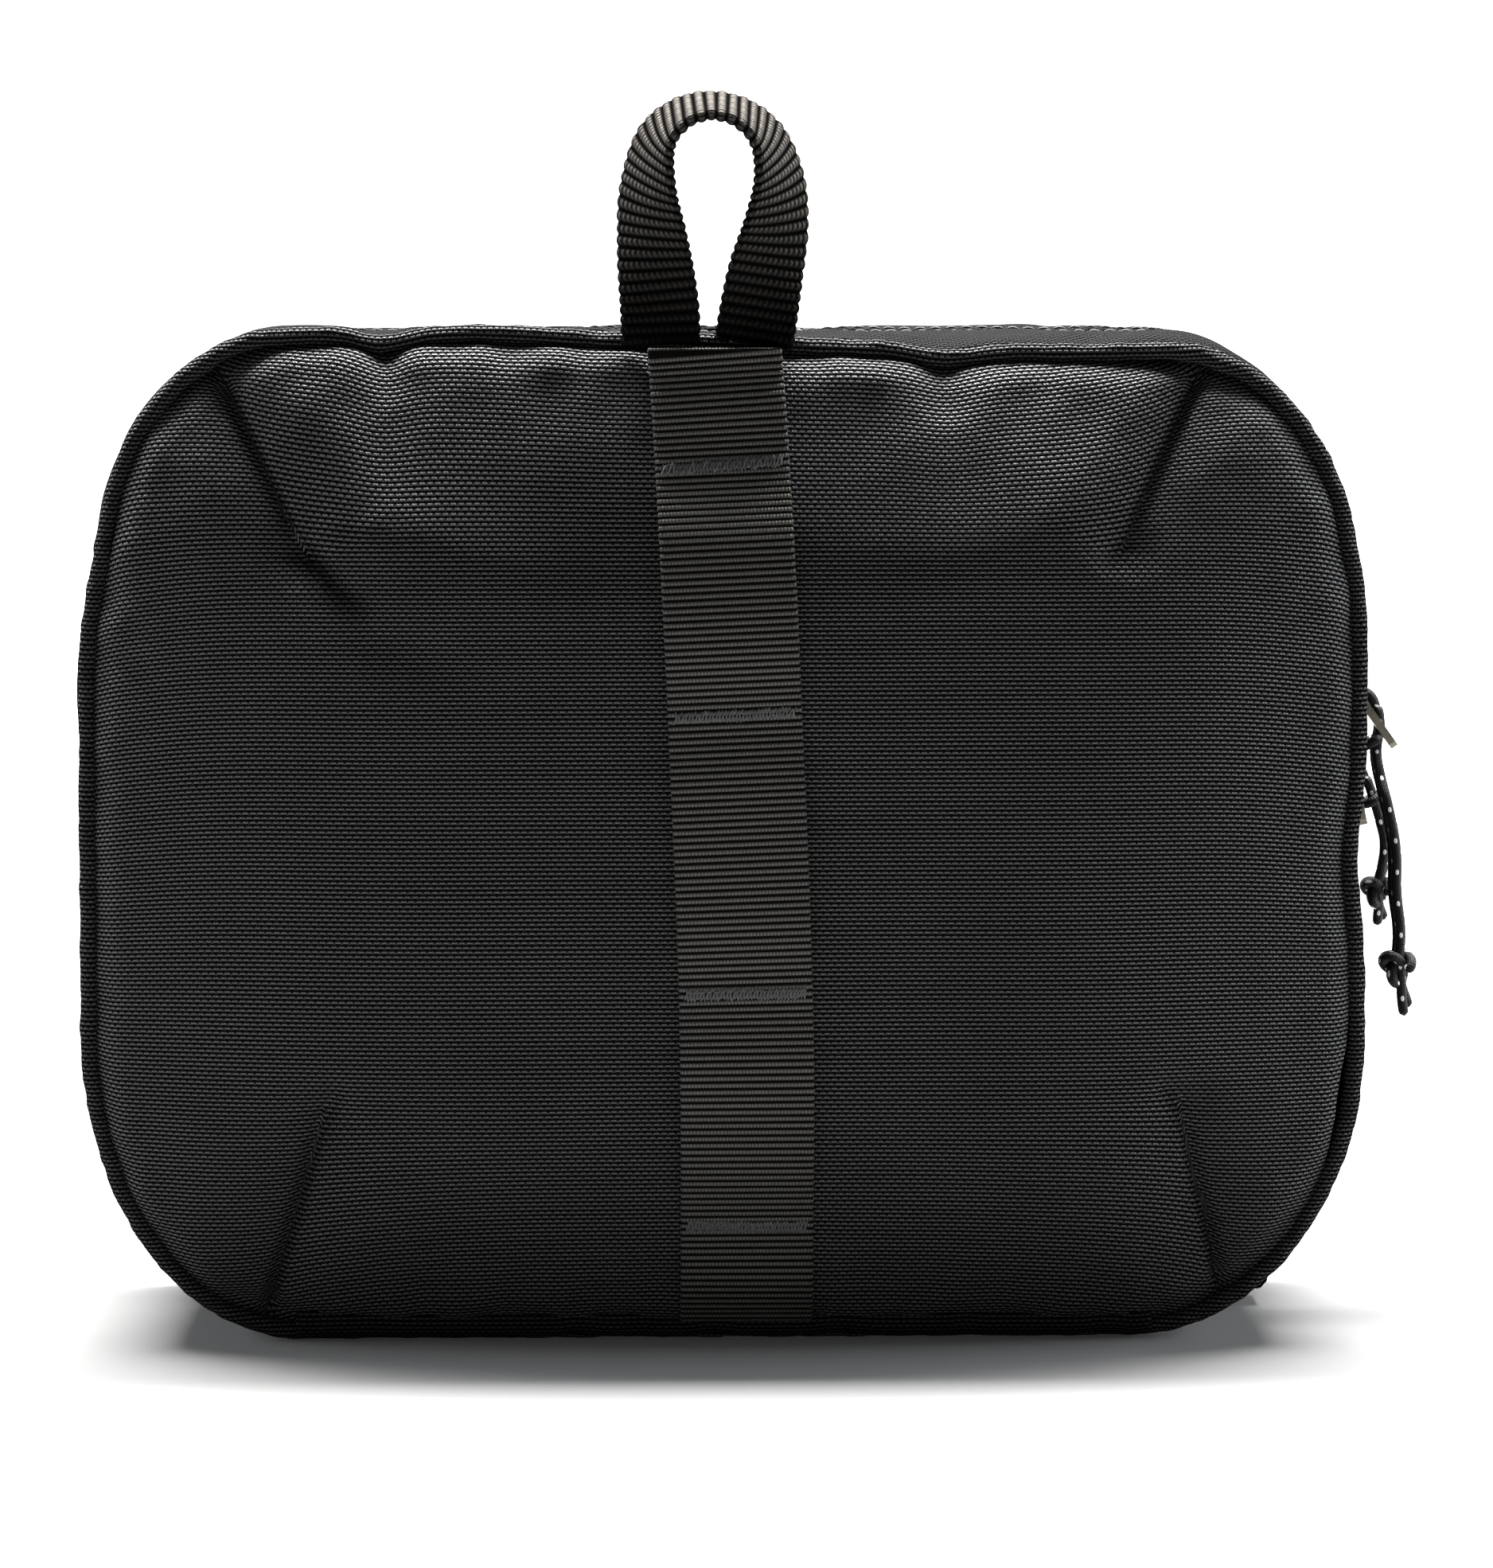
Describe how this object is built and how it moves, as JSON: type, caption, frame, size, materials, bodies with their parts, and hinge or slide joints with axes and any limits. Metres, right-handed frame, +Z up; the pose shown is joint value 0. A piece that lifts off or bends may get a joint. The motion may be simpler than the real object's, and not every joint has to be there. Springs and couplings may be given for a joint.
{
  "type": "hanging toiletry bag",
  "caption": "Padded clamshell toiletry bag in black woven fabric, with front attachment webbing, a webbing hanging loop, a two-slider zipper with cord pulls, and pockets inside.",
  "frame": {"origin": "middle of the flat base, on the surface that the bag stands on", "axes": "+X across the bag to the side where the zipper pulls hang, +Y from the front panel to the rear panel, +Z up"},
  "size_m": [0.2545, 0.0899, 0.2347],
  "materials": {
    "shell_fabric": "matt black woven nylon oxford",
    "piping_fabric": "matt black woven nylon over a cord",
    "foam_padding": "soft closed foam",
    "lining_fabric": "smooth grey lining",
    "binding_tape": "ribbed black tape",
    "zip_tape": "black herringbone tape",
    "zip_coil": "black nylon coil",
    "webbing": "ribbed black webbing",
    "thread": "dark bonded thread",
    "mesh_fabric": "black knitted mesh",
    "gunmetal": "worn dark bronze plating",
    "pull_cord": "black braided cord with light flecks",
    "hook_plastic": "moulded black acetal"
  },
  "bodies": {
    "front_half": {"front_panel": "shell_fabric", "front_padding": "foam_padding", "front_lining": "lining_fabric", "front_piping": "piping_fabric", "front_seam_binding": "binding_tape", "front_gusset": "shell_fabric", "front_gusset_lining": "lining_fabric", "front_zip_tape": "zip_tape", "front_zip_coil": "zip_coil", "base_panel_front": "shell_fabric", "zip_end_tab_left": "webbing", "zip_end_tab_right": "webbing", "daisy_webbing": "webbing", "daisy_bar_tacks": "thread", "hang_loop_anchor": "webbing", "front_mesh_pocket": "mesh_fabric", "front_pocket_elastic": "binding_tape", "hook_tab": "webbing"},
    "rear_half": {"rear_panel": "shell_fabric", "rear_padding": "foam_padding", "rear_lining": "lining_fabric", "rear_piping": "piping_fabric", "rear_seam_binding": "binding_tape", "rear_gusset": "shell_fabric", "rear_gusset_lining": "lining_fabric", "rear_zip_tape": "zip_tape", "rear_zip_coil": "zip_coil", "base_panel_rear": "shell_fabric", "rear_mesh_lower": "mesh_fabric", "rear_mesh_upper": "mesh_fabric", "pocket_tape_lower": "zip_tape", "pocket_tape_upper": "zip_tape", "pocket_coil_lower": "zip_coil", "pocket_coil_upper": "zip_coil"},
    "slider_upper": {"slider_upper": "gunmetal"},
    "slider_lower": {"slider_lower": "gunmetal"},
    "pull_upper": {"pull_tab_upper": "gunmetal", "pull_cord_upper": "pull_cord", "pull_knot_upper": "pull_cord"},
    "pull_lower": {"pull_tab_lower": "gunmetal", "pull_cord_lower": "pull_cord", "pull_knot_lower": "pull_cord"},
    "pocket_slider": {"pocket_slider": "gunmetal"},
    "pocket_pull": {"pocket_pull_tab": "gunmetal"},
    "hang_loop": {"hang_loop": "webbing"},
    "hook_swivel": {"hook_swivel": "hook_plastic"},
    "hook": {"hook": "hook_plastic"}
  },
  "joints": [
    {"name": "half_hinge", "type": "hinge", "parent": "front_half", "child": "rear_half", "pos_m": [0, 0.017, -0.00015], "axis": [-1, 0, 0], "range_deg": [0, 180]},
    {"name": "upper_slider_travel", "type": "slide", "parent": "front_half", "child": "slider_upper", "axis": [0, 0, 1], "range_m": [0, 0.016]},
    {"name": "lower_slider_travel", "type": "slide", "parent": "front_half", "child": "slider_lower", "axis": [0, 0, 1], "range_m": [-0.046, 0]},
    {"name": "upper_pull_swing", "type": "hinge", "parent": "slider_upper", "child": "pull_upper", "pos_m": [0.1223, 0.0153, 0.1196], "axis": [0, -1, 0], "range_deg": [-5, 120]},
    {"name": "lower_pull_swing", "type": "hinge", "parent": "slider_lower", "child": "pull_lower", "pos_m": [0.1223, 0.0187, 0.1066], "axis": [0, -1, 0], "range_deg": [-5, 120]},
    {"name": "pocket_slider_travel", "type": "slide", "parent": "rear_half", "child": "pocket_slider", "axis": [1, 0, 0], "range_m": [-0.168, 0.005]},
    {"name": "pocket_pull_swing", "type": "hinge", "parent": "pocket_slider", "child": "pocket_pull", "pos_m": [0.084, 0.02845, 0.142], "axis": [0, 0, 1], "range_deg": [0, 165]},
    {"name": "loop_fold", "type": "hinge", "parent": "front_half", "child": "hang_loop", "pos_m": [0, -0.0338, 0.1886], "axis": [1, 0, 0], "range_deg": [-60, 110], "stiffness_Nm_per_rad": 0.003},
    {"name": "hook_tab_swing", "type": "hinge", "parent": "front_half", "child": "hook_swivel", "pos_m": [0, -0.002, 0.1728], "axis": [1, 0, 0], "range_deg": [-18, 18]},
    {"name": "hook_spin", "type": "hinge", "parent": "hook_swivel", "child": "hook", "pos_m": [0, -0.002, 0.155], "axis": [0, 0, 1], "continuous": true}
  ]
}
